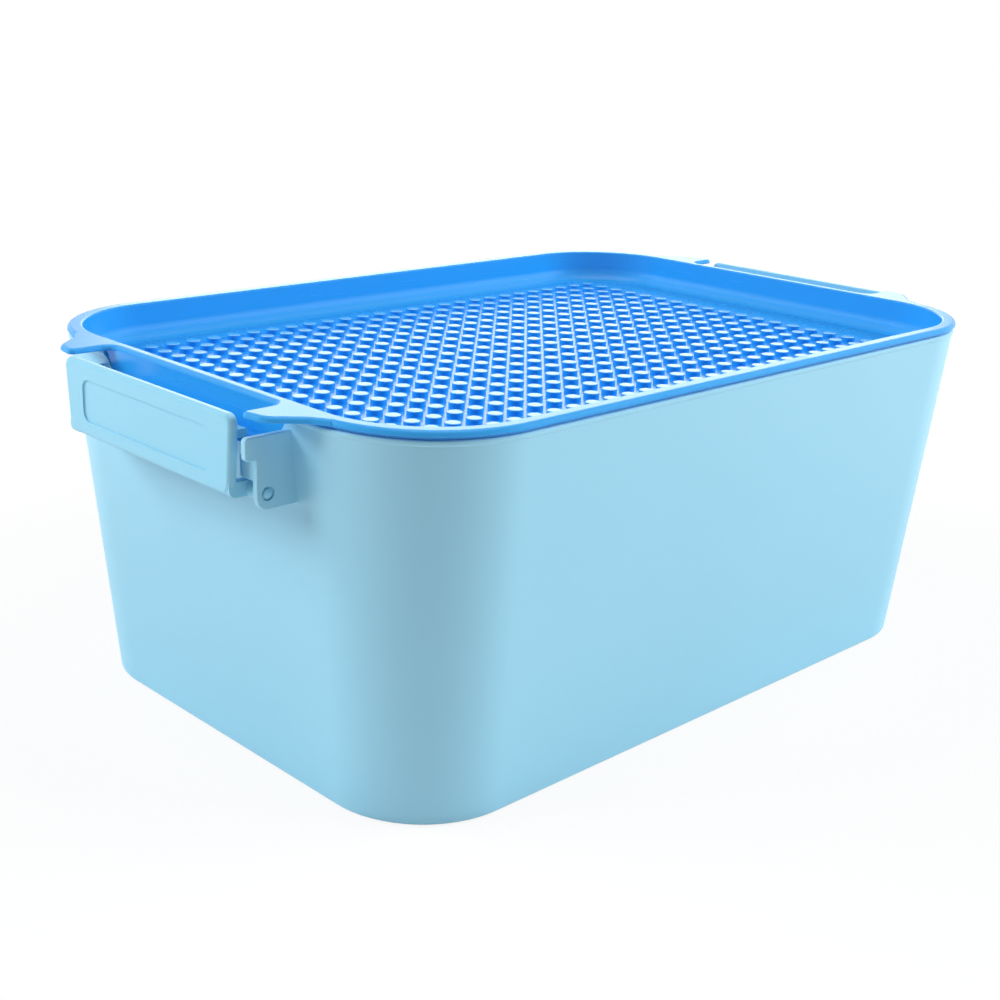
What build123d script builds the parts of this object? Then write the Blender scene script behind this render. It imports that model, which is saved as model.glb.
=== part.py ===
from build123d import *
from math import cos, pi, sin
import os

# Toy storage box: a tapered tub, a tray lid with a field of building studs, and a swinging latch at
# each short end that snaps over the lid and is also the carrying handle.
# Origin: the middle of the box on the surface it stands on. X runs along the long side, Z is up.

# Tub
tub_height = 113.4
tub_length = 272.6
tub_width = 190.2
tub_corner = 38.6
base_corner = 31.8
tub_lean = 9.9
wall_bands = 3
tub_wall = 2.4
tub_floor = 2.6
floor_round = 4.0
round_steps = 2
lip_height = 1.5
lip_reach = 0.3

# Dip in the rim at each short end
dip_depth = 10.0
dip_top_width = 92.0
dip_floor_width = 76.0
dip_round = 3.0

# Lid
lid_rise = 2.6
flange_thickness = 1.7
flange_overhang = 0.2
seat_inset = 1.0
seat_gap = 0.1
tray_wall = 1.8
tray_floor = 2.0
tray_depth = 11.77
tray_clearance = 0.4
foot_round = 5.0
notch_inset = 1.1
notch_corner = 3.8
saddle_clearance = 0.3

# Wings of the lid on both sides of each latch
wing_reach = 12.5
wing_span = 21.0
wing_gap = 0.5
wing_shoulder_round = 6.0
wing_waist_round = 5.0
wing_outline_shares = [(1.0, 0.0), (0.89, 0.41), (0.2, 0.76), (-0.04, 1.0)]

# Studs
stud_pitch = 8.0
stud_diameter = 4.8
stud_height = 1.7
stud_columns = 27
stud_rows = 19
stud_sides = 5

# Catch ledge of the lid, under the latch's snap rib
ledge_reach = 5.4
ledge_thickness = 1.5
ledge_width = 66.0
ledge_slope = 0.9

# Latch
latch_top_width = 84.0
latch_base_width = 80.6
latch_height = 22.0
latch_thickness = 2.6
latch_stand_off = 14.9
latch_drop = 1.0
latch_corner = 3.0
panel_width = 64.0
panel_height = 12.4
panel_rise = 4.6
panel_corner = 3.0
panel_depth = 0.5
rib_thickness = 2.4
rib_bite = 1.0
rib_gap = 0.3
gusset_thickness = 1.6
gusset_pitch = 24.0
gusset_drop = 7.0
gusset_count = 3

# Hinge: ears on the tub, pins through them, arms on the latch
pin_diameter = 2.8
pin_running_gap = 0.08
pin_proud = 0.3
pin_engagement = 6.0
pin_out = 6.8
pin_below_rim = 19.5
ear_thickness = 2.0
ear_front = 3.4
ear_below = 4.4
ear_top_rise = 15.7
ear_nose_reach = 3.4
ear_nose_height = 6.3
ear_nose_round = 1.2
ear_side_gap = 0.4
hub_reach = 3.7
arm_thickness = 2.8
arm_below = 2.0
arm_boss_wall = 1.07
stop_gap = 0.85
stop_thickness = 2.0
stop_length = 5.9
stop_out = 2.3

# One overrun serves every cut
cut_over = 2.0

# Values that follow from the ones above
half_length = tub_length / 2
lid_top = tub_height + lid_rise
flange_bottom = lid_top - flange_thickness
seat_level = tub_height + seat_gap
floor_level = lid_top - tray_depth
tray_bottom = floor_level - tray_floor
dip_level = tub_height - dip_depth
flange_x = half_length + flange_overhang
notch_x = flange_x - notch_inset
tray_inset = tub_wall + lip_reach + tray_clearance
pin_x = half_length + pin_out
pin_z = tub_height - pin_below_rim
latch_outer = half_length + latch_stand_off
latch_inner = latch_outer - latch_thickness
latch_bottom = pin_z - latch_drop
arm_side = latch_base_width / 2
hub_end = arm_side + hub_reach
hub_radius = pin_diameter / 2 + pin_running_gap + arm_boss_wall
ear_inner = hub_end + ear_side_gap
ledge_bottom = dip_level + saddle_clearance
ledge_top = ledge_bottom + ledge_thickness
ledge_x = notch_x + ledge_reach
rib_bottom = ledge_top + rib_gap
rib_top = rib_bottom + rib_thickness
rib_x = ledge_x - rib_bite


def wall_lean(z):
    """How far the leaning wall stands in from the rim line at height z."""
    return lip_reach + tub_lean * (1 - z / tub_height)


def level_section(z, inset):
    """Rounded rectangle at height z, parallel to the outside of the leaning wall."""
    lean = wall_lean(z) + inset
    corner = base_corner + (tub_corner - base_corner) * z / tub_height - inset
    outline = RectangleRounded(tub_length - lean * 2, tub_width - lean * 2, corner)
    return Pos(0, 0, z) * outline


def wall_sections(low, high, inset):
    """Sections of a leaning wall above its low end, one for each of its bands."""
    sections = []
    for band in range(1, wall_bands + 1):
        sections.append(level_section(low + (high - low) * band / wall_bands, inset))
    return sections


def leaning_block(low, high, inset):
    """Solid between two heights whose sides lean as the tub's walls do."""
    sections = [level_section(low, inset), level_section(high, inset)]
    return loft(sections, ruled=True)


def rounded_block(low, high, inset, radius):
    """Leaning solid whose lowest edge is rounded in a few flat bands."""
    sections = []
    for step in range(round_steps + 1):
        turn = pi / 2 * step / round_steps
        rise = radius * (1 - cos(turn))
        draw = radius * (1 - sin(turn))
        sections.append(level_section(low + rise, inset + draw))
    sections.extend(wall_sections(low + radius, high, inset))
    return loft(sections, ruled=True)


def slab(sketch, low, high):
    """A plan outline raised between two heights."""
    return extrude(Pos(0, 0, low) * sketch, amount=high - low)


def both_ends(solid):
    """The solid and its mirror image at the other short end."""
    return solid + mirror(solid, about=Plane.YZ)


def both_sides(solid):
    """The solid and its mirror image across the long middle."""
    return solid + mirror(solid, about=Plane.XZ)


def end_plate(outline, start, thickness):
    """An outline drawn in X and Z, raised along Y from a start."""
    plane = Plane(origin=(0, start, 0), x_dir=(1, 0, 0), z_dir=(0, -1, 0))
    return extrude(plane * outline, amount=-thickness)


def dip_block(clearance, inner, outer):
    """Trapezoid of the dip, narrowed by a clearance, between two distances along X."""
    top = tub_height + cut_over
    slope = (dip_top_width - dip_floor_width) / 2 / dip_depth
    floor = dip_level + clearance
    half_floor = dip_floor_width / 2 - clearance + clearance * slope
    half_top = half_floor + (top - floor) * slope
    outline = Polygon(
        (-half_floor, floor),
        (half_floor, floor),
        (half_top, top),
        (-half_top, top),
        align=None,
    )
    outline = fillet(outline.vertices().sort_by(Axis.Y)[:2], dip_round)
    plane = Plane(origin=(inner, 0, 0), x_dir=(0, 1, 0), z_dir=(1, 0, 0))
    return extrude(plane * outline, amount=outer - inner)


def make_ear(nosed):
    """One hinge ear at the right end with its stop pad, and a nose at its top if it has one."""
    top = pin_z + ear_top_rise
    nose_bottom = top - ear_nose_height
    bottom = pin_z - ear_below
    front = pin_x + ear_front
    nose = front + ear_nose_reach
    root_low = half_length - wall_lean(bottom) - tub_wall / 2
    root_high = half_length - wall_lean(top) - tub_wall / 2
    corners = [(root_high, top), (root_low, bottom), (front, bottom)]
    if nosed:
        corners.extend([(front, nose_bottom), (nose, nose_bottom), (nose, top)])
    else:
        corners.append((front, top))
    outline = Polygon(*corners, align=None)
    low_edge = outline.vertices().sort_by(Axis.Y)[:2]
    outline = fillet(low_edge.sort_by(Axis.X)[-1], ear_front)
    if nosed:
        tips = outline.vertices().sort_by(Axis.X)[-2:]
    else:
        tips = outline.vertices().sort_by(Axis.Y)[-2:].sort_by(Axis.X)[-1:]
    outline = fillet(tips, ear_nose_round)
    outline = outline - Pos(pin_x, pin_z) * Circle(pin_diameter / 2)
    ear = end_plate(outline, ear_inner, ear_thickness)
    pad_low = pin_z + hub_radius + stop_gap
    pad = Pos(pin_x + stop_out, ear_inner + ear_thickness / 2, pad_low) * Box(
        stop_thickness,
        stop_length + ear_thickness / 2,
        nose_bottom - pad_low,
        align=(Align.MAX, Align.MAX, Align.MIN),
    )
    return ear + pad


def make_tub():
    """Thin leaning walls, a floor, a rim lip that dips at the short ends, and four hinge ears."""
    lip_bottom = tub_height - lip_height
    sections = [level_section(0, 0)]
    sections.extend(wall_sections(0, lip_bottom, 0))
    sections.append(level_section(lip_bottom + lip_reach, -lip_reach))
    sections.append(level_section(tub_height, -lip_reach))
    shell = loft(sections, ruled=True)
    hollow = rounded_block(tub_floor, tub_height + cut_over, tub_wall, floor_round)
    right_ears = make_ear(True) + mirror(make_ear(False), about=Plane.XZ)
    left_ears = mirror(mirror(right_ears, about=Plane.YZ), about=Plane.XZ)
    dips = both_ends(dip_block(0, half_length - tub_wall * 2, half_length + cut_over))
    return shell + right_ears + left_ears - hollow - dips


def wing_face():
    """Plan outline of one wing, flared out beside the latch and swept back into the corner."""
    start = latch_top_width / 2 + wing_gap
    root = half_length - tub_wall
    corners = []
    for out_share, along_share in wing_outline_shares:
        corners.append((flange_x + wing_reach * out_share, start + wing_span * along_share))
    edge = FilletPolyline(*corners, radius=[wing_shoulder_round, wing_waist_round])
    back = Polyline(corners[-1], (root, start + wing_span), (root, start), corners[0])
    return make_face(edge.edges() + back.edges())


def make_flange():
    """Flat rim of the lid with its four wings and the notch for each latch."""
    rim = RectangleRounded(flange_x * 2, tub_width + flange_overhang * 2, tub_corner + flange_overhang)
    plan = rim + both_ends(both_sides(wing_face()))
    notch_length = wing_reach * 2
    notch = Pos(notch_x + notch_length / 2, 0) * RectangleRounded(
        notch_length, latch_top_width + wing_gap * 2, notch_corner
    )
    plan = plan - both_ends(notch)
    return slab(plan, flange_bottom, lid_top)


def make_lid():
    """Rim flange, leaning tray walls, the skirts that fill the rim's dips and their catch ledges."""
    flange = make_flange()
    seat_outline = RectangleRounded(
        tub_length - seat_inset * 2, tub_width - seat_inset * 2, tub_corner - seat_inset
    )
    seat = slab(seat_outline, seat_level, flange_bottom)
    tray = leaning_block(tray_bottom, flange_bottom, tray_inset - lip_reach)
    skirt = dip_block(saddle_clearance, half_length - tub_wall * 2, notch_x)
    skirt_top = Pos(0, 0, flange_bottom) * Box(
        tub_length * 2, tub_width * 2, cut_over * 2, align=(Align.CENTER, Align.CENTER, Align.MIN)
    )
    skirt = skirt - skirt_top
    ledge = Pos(half_length - tub_wall, 0, ledge_bottom) * Box(
        ledge_x - half_length + tub_wall,
        ledge_width,
        ledge_thickness,
        align=(Align.MIN, Align.CENTER, Align.MIN),
    )
    ledge_tip = ledge.faces().sort_by(Axis.X)[-1].edges().sort_by(Axis.Z)[-1]
    ledge = chamfer(ledge_tip, ledge_slope)
    body = flange + seat + tray + both_ends(skirt + ledge)
    cavity = rounded_block(floor_level, lid_top + cut_over, tray_inset - lip_reach + tray_wall, foot_round)
    body = body - cavity
    return body - slab(panel_face(), tray_bottom - cut_over, lid_top)


def panel_face():
    """Plan outline of the flat floor inside the foot of the tray's walls."""
    lean = wall_lean(floor_level) + tray_inset - lip_reach + tray_wall + foot_round
    corner = tub_corner - tray_inset - tray_wall - foot_round
    return RectangleRounded(tub_length - lean * 2, tub_width - lean * 2, corner)


def make_stud_panel():
    """Floor of the tray with its studs, each a short post of a few sides."""
    plate = slab(panel_face(), tray_bottom, floor_level)
    stud = RegularPolygon(stud_diameter / 2, stud_sides)
    studs = Sketch() + [
        place * stud for place in GridLocations(stud_pitch, stud_pitch, stud_columns, stud_rows)
    ]
    field = extrude(Pos(0, 0, floor_level) * studs, amount=stud_height)
    return plate + field


def make_latch():
    """Right latch: plate with a recessed panel, snap rib on gussets, and an arm at each end."""
    face_plane = Plane(origin=(latch_inner, 0, 0), x_dir=(0, 1, 0), z_dir=(1, 0, 0))
    face = Polygon(
        (-latch_base_width / 2, latch_bottom),
        (latch_base_width / 2, latch_bottom),
        (latch_top_width / 2, latch_bottom + latch_height),
        (-latch_top_width / 2, latch_bottom + latch_height),
        align=None,
    )
    face = fillet(face.vertices(), latch_corner)
    plate = extrude(face_plane * face, amount=latch_thickness)
    panel_z = latch_bottom + panel_rise + panel_height / 2
    panel_plane = Plane(origin=(latch_outer, 0, panel_z), x_dir=(0, 1, 0), z_dir=(-1, 0, 0))
    panel = extrude(panel_plane * RectangleRounded(panel_width, panel_height, panel_corner), amount=panel_depth)
    plate = plate - panel

    rib = Pos(latch_inner, 0, rib_bottom) * Box(
        latch_inner - rib_x,
        ledge_width,
        rib_thickness,
        align=(Align.MAX, Align.CENTER, Align.MIN),
    )
    rib_nose = rib.faces().sort_by(Axis.X)[0].edges().sort_by(Axis.Z)[0]
    rib = chamfer(rib_nose, ledge_slope)
    gusset_outline = Polygon(
        (latch_inner, rib_bottom),
        (ledge_x + rib_bite, rib_bottom),
        (latch_inner, rib_bottom - gusset_drop),
        align=None,
    )
    gusset = end_plate(gusset_outline, -gusset_thickness / 2, gusset_thickness)
    latch = plate + rib
    for place in GridLocations(gusset_pitch, gusset_pitch, 1, gusset_count):
        latch = latch + place * gusset

    arm_block = Polygon(
        (pin_x, pin_z - arm_below),
        (latch_outer, pin_z - arm_below),
        (latch_outer, pin_z + hub_radius),
        (pin_x, pin_z + hub_radius),
        align=None,
    )
    hub = Pos(pin_x, pin_z) * Circle(hub_radius)
    bore = Pos(pin_x, pin_z) * Circle(pin_diameter / 2 + pin_running_gap)
    arm = end_plate(arm_block + hub - bore, arm_side - arm_thickness, arm_thickness)
    spacer = end_plate(hub - bore, arm_side, hub_reach)
    return latch + both_sides(arm + spacer)


def make_pins():
    """The four hinge pins: a shaft pressed through the ear into the arm, with a rounded outer end."""
    length = ear_thickness + ear_side_gap + pin_engagement + pin_proud
    pin = Cylinder(pin_diameter / 2, length, align=(Align.CENTER, Align.CENTER, Align.MAX))
    outer_face = ear_inner + ear_thickness + pin_proud
    plane = Plane(origin=(pin_x, outer_face, pin_z), x_dir=(1, 0, 0), z_dir=(0, 1, 0))
    pin = plane * pin
    front = mirror(pin, about=Plane.XZ)
    pins = [pin, front, mirror(pin, about=Plane.YZ), mirror(front, about=Plane.YZ)]
    return Compound(children=[Solid(p.solid().wrapped) for p in pins])


os.makedirs("parts", exist_ok=True)
right_latch = make_latch()
nodes = {
    "tub": make_tub(),
    "lid_tray": make_lid(),
    "stud_panel": make_stud_panel(),
    "right_latch": right_latch,
    "left_latch": mirror(right_latch, about=Plane.YZ),
    "hinge_pins": make_pins(),
}
for name, shape in nodes.items():
    export_step(shape, "parts/" + name + ".step")
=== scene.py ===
"""Toy storage box: a leaning tub, a tray lid with building studs, and two swinging latches on pins.

Every form is built in millimetres in the box's own frame and brought to metres when it is finished.
X runs along the long side, Y along the short side, and Z is up from the surface it stands on.
"""

import logging
import math
from dataclasses import dataclass, field
from enum import Enum
from typing import Callable, Sequence

import bmesh
import bpy
from mathutils import Matrix, Vector

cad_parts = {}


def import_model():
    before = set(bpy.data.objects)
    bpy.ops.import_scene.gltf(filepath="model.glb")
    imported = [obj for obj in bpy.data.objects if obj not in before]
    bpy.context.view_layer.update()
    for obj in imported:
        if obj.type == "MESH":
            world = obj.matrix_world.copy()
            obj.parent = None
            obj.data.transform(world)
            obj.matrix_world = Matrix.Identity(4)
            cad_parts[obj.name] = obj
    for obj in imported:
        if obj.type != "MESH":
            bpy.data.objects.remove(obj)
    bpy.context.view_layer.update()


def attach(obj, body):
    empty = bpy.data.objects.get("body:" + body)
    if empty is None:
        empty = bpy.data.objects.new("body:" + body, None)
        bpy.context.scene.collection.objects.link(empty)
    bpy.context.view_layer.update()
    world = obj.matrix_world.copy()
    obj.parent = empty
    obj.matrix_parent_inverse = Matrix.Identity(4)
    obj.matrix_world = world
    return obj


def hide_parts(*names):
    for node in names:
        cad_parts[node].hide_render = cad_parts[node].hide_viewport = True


LOG = logging.getLogger("storage_box")
METRE = 0.001
SHARP_ANGLE = math.radians(38)
FLAT_ANGLE = math.radians(0.4)
WELD_GAP = 0.0005
LEVEL_GAP = 0.01


class Facing(Enum):
    """Which way a form drawn flat is stood up."""

    END = Matrix(((0, 0, 1), (1, 0, 0), (0, 1, 0)))
    SIDE = Matrix(((1, 0, 0), (0, 0, 1), (0, 1, 0)))


class Join(Enum):
    """How one form meets another."""

    UNION = "UNION"
    CUT = "DIFFERENCE"


class Slot(Enum):
    """The two plastics of the box, by the record's names."""

    PALE = "pale_blue"
    DEEP = "deep_blue"


@dataclass(frozen=True)
class Section:
    """A rounded rectangle at one level of a stacked form."""

    level: float
    half_u: float
    half_v: float
    corner: float
    centre_v: float = 0.0


@dataclass(frozen=True)
class Corner:
    """A corner of a flat outline, with how far its rounding reaches along its sides."""

    u: float
    v: float
    reach: float = 0.0


def quarter_round(radius: float, steps: int) -> list[tuple[float, float]]:
    """Points of a quarter circle, from its foot on the level to its head on the wall.

    Args:
        radius: Radius of the rounding.
        steps: How many chords it has.

    Returns:
        Pairs of the distance in from the wall and the rise from the level.
    """
    points = []
    for step in range(steps + 1):
        turn = math.pi / 2 * step / steps
        points.append((radius * (1 - math.sin(turn)), radius * (1 - math.cos(turn))))
    return points


class Form:
    """A closed mesh under construction, in millimetres."""

    def __init__(self) -> None:
        """Starts with nothing in it."""
        self.mesh = bmesh.new()

    @classmethod
    def stack(cls, sections: Sequence[Section], segments: int) -> "Form":
        """Closed form through rounded rectangles, capped at its first and last one.

        Args:
            sections: The levels, in order.
            segments: Chords in each rounded corner.

        Returns:
            The new form.
        """
        form = cls()
        faces = [form._outline_face(section, segments) for section in sections]
        loops = [list(face.edges) for face in faces]
        bmesh.ops.delete(form.mesh, geom=faces[1:-1], context="FACES_ONLY")
        for lower, upper in zip(loops, loops[1:]):
            bmesh.ops.bridge_loops(form.mesh, edges=lower + upper)
        return form.outward()

    def _outline_face(self, section: Section, segments: int) -> bmesh.types.BMFace:
        """One rounded rectangle as a face.

        Args:
            section: Its level, size and corner.
            segments: Chords in each corner.

        Returns:
            The face.
        """
        corners = bmesh.ops.create_grid(self.mesh, x_segments=1, y_segments=1, size=1.0)["verts"]
        bmesh.ops.scale(self.mesh, vec=(section.half_u, section.half_v, 1), verts=corners)
        bmesh.ops.translate(self.mesh, vec=(0, section.centre_v, section.level), verts=corners)
        rounded = self._round(corners, section.corner, segments, "VERTICES")
        return rounded[0].link_faces[0]

    def _round(
        self,
        geometry: list[bmesh.types.BMVert] | list[bmesh.types.BMEdge],
        radius: float,
        segments: int,
        affect: str,
    ) -> list[bmesh.types.BMVert]:
        """Rounds corners of a flat outline, or edges of a solid form.

        Args:
            geometry: The corners or the edges.
            radius: How far the rounding reaches.
            segments: Chords across it.
            affect: Blender's name for corners or for edges.

        Returns:
            The corners of the rounding.
        """
        return bmesh.ops.bevel(
            self.mesh,
            geom=geometry,
            offset=radius,
            offset_type="OFFSET",
            segments=segments,
            profile=0.5,
            affect=affect,
            clamp_overlap=affect == "EDGES",
            material=-1,
        )["verts"]

    @classmethod
    def prism(cls, corners: Sequence[Corner], low: float, high: float, segments: int = 6) -> "Form":
        """Flat outline with rounded corners, raised between two levels.

        Args:
            corners: The outline's corners, in order.
            low: Level of its lower face.
            high: Level of its upper face.
            segments: Chords in each rounded corner.

        Returns:
            The new form.
        """
        form = cls()
        points = [form.mesh.verts.new((corner.u, corner.v, low)) for corner in corners]
        form.mesh.faces.new(points)
        for point, corner in zip(points, corners):
            if corner.reach > 0:
                form._round([point], corner.reach, segments, "VERTICES")
        raised = bmesh.ops.extrude_face_region(form.mesh, geom=form.mesh.faces[:])["geom"]
        upper = [part for part in raised if isinstance(part, bmesh.types.BMVert)]
        bmesh.ops.translate(form.mesh, vec=(0, 0, high - low), verts=upper)
        return form.outward()

    @classmethod
    def block(cls, low: Sequence[float], high: Sequence[float]) -> "Form":
        """Box between two corners.

        Args:
            low: Its lowest corner.
            high: Its highest corner.

        Returns:
            The new form.
        """
        form = cls()
        bmesh.ops.create_cube(form.mesh, size=1.0)
        size = [b - a for a, b in zip(low, high)]
        middle = [(a + b) / 2 for a, b in zip(low, high)]
        bmesh.ops.scale(form.mesh, vec=size, verts=form.mesh.verts[:])
        return form.shift(middle)

    @classmethod
    def turned(cls, profile: Sequence[tuple[float, float]], steps: int) -> "Form":
        """Round form about the upright axis, from a profile that starts and ends on it.

        Args:
            profile: Pairs of radius and height.
            steps: Sides of the circle.

        Returns:
            The new form.
        """
        form = cls()
        points = [form.mesh.verts.new((radius, 0, height)) for radius, height in profile]
        edges = [form.mesh.edges.new(pair) for pair in zip(points, points[1:])]
        bmesh.ops.spin(
            form.mesh,
            geom=points + edges,
            cent=(0, 0, 0),
            axis=(0, 0, 1),
            dvec=(0, 0, 0),
            angle=math.tau,
            steps=steps,
            use_merge=True,
        )
        bmesh.ops.remove_doubles(form.mesh, verts=form.mesh.verts[:], dist=WELD_GAP)
        return form.outward()

    def outward(self) -> "Form":
        """Points every face outwards."""
        bmesh.ops.recalc_face_normals(self.mesh, faces=self.mesh.faces[:])
        return self

    def stand(self, facing: Facing) -> "Form":
        """Turns a form drawn flat so that it faces one way."""
        bmesh.ops.transform(self.mesh, matrix=facing.value.to_4x4(), verts=self.mesh.verts[:])
        return self.outward()

    def shift(self, by: Sequence[float]) -> "Form":
        """Moves the form."""
        bmesh.ops.translate(self.mesh, vec=by, verts=self.mesh.verts[:])
        return self

    def copy(self) -> "Form":
        """A second form with the same mesh."""
        twin = Form()
        twin.mesh = self.mesh.copy()
        return twin

    def mirrored(self, sign_x: int, sign_y: int) -> "Form":
        """A copy on another side of the box.

        Args:
            sign_x: Minus one for the left end.
            sign_y: Minus one for the near side.

        Returns:
            The new form.
        """
        twin = self.copy()
        bmesh.ops.scale(twin.mesh, vec=(sign_x, sign_y, 1), verts=twin.mesh.verts[:])
        return twin.outward()

    def round_edges(
        self,
        radius: float,
        segments: int = 3,
        chosen: Callable[[bmesh.types.BMEdge], bool] = lambda edge: True,
    ) -> "Form":
        """Rounds the sharp edges that are chosen.

        Args:
            radius: Radius of the rounding.
            segments: Chords across it.
            chosen: Test that an edge passes to be rounded.

        Returns:
            The same form.
        """
        edges = [
            edge
            for edge in self.mesh.edges
            if edge.is_manifold and edge.calc_face_angle() > SHARP_ANGLE and chosen(edge)
        ]
        self._round(edges, radius, segments, "EDGES")
        return self

    def absorb(self, other: "Form") -> "Form":
        """Takes in another form's mesh as a shell of its own.

        Args:
            other: The form that is taken in. It is used up.

        Returns:
            The same form.
        """
        carrier = bpy.data.meshes.new("carrier")
        other.mesh.to_mesh(carrier)
        self.mesh.from_mesh(carrier)
        bpy.data.meshes.remove(carrier)
        other.mesh.free()
        return self

    def meet(self, other: "Form", join: Join) -> "Form":
        """Adds or cuts away another form.

        Args:
            other: The form that is added or cut away. It is used up.
            join: Which of the two.

        Returns:
            The same form.
        """
        base, tool = self._as_object("base"), other._as_object("tool")
        modifier = base.modifiers.new("meet", "BOOLEAN")
        modifier.operation, modifier.solver, modifier.object = join.value, "EXACT", tool
        self._take_back(base, tool)
        bmesh.ops.remove_doubles(self.mesh, verts=self.mesh.verts[:], dist=WELD_GAP)
        return self

    def round_by_weight(self, radius: float, segments: int) -> "Form":
        """Rounds the edges by the bevel weights that they carry.

        Args:
            radius: Radius of the rounding where the weight is one.
            segments: Chords across it.

        Returns:
            The same form.
        """
        base = self._as_object("outline")
        modifier = base.modifiers.new("round", "BEVEL")
        modifier.limit_method, modifier.width = "WEIGHT", radius
        modifier.segments, modifier.profile = segments, 0.5
        modifier.use_clamp_overlap = False
        self._take_back(base)
        return self

    def _take_back(self, base: bpy.types.Object, *others: bpy.types.Object) -> None:
        """Takes the mesh that an object's modifiers make, and removes all the objects.

        Args:
            base: The object with the modifiers.
            *others: Objects that the modifiers used.
        """
        self.mesh = bmesh.new()
        self.mesh.from_object(base, bpy.context.evaluated_depsgraph_get())
        for carrier in (base, *others):
            mesh = carrier.data
            bpy.data.objects.remove(carrier)
            bpy.data.meshes.remove(mesh)

    def _as_object(self, name: str) -> bpy.types.Object:
        """Puts the mesh in an object, as it is, and lets go of the form's own.

        Args:
            name: The object's name.

        Returns:
            The object.
        """
        carrier = bpy.data.objects.new(name, bpy.data.meshes.new(name))
        self.mesh.to_mesh(carrier.data)
        self.mesh.free()
        bpy.context.scene.collection.objects.link(carrier)
        return carrier

    def finish(self, name: str) -> bpy.types.Object:
        """Makes the finished piece, in metres at the origin, with smooth rounds and flat flats.

        Args:
            name: The piece's name.

        Returns:
            Its object.
        """
        bmesh.ops.scale(self.mesh, vec=(METRE, METRE, METRE), verts=self.mesh.verts[:])
        piece = self._as_object(name)
        piece.data.shade_smooth()
        piece.data.set_sharp_from_angle(angle=SHARP_ANGLE)
        weighted = piece.modifiers.new("even normals", "WEIGHTED_NORMAL")
        weighted.keep_sharp = True
        return piece


def linear(colour: Sequence[int]) -> tuple[float, float, float, float]:
    """Turns a screen colour into the values that light works with.

    Args:
        colour: Red, green and blue from 0 to 255.

    Returns:
        The same colour in linear light, opaque.
    """
    shares = []
    for value in colour:
        share = value / 255
        shares.append(share / 12.92 if share <= 0.04045 else ((share + 0.055) / 1.055) ** 2.4)
    return (*shares, 1.0)


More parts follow.
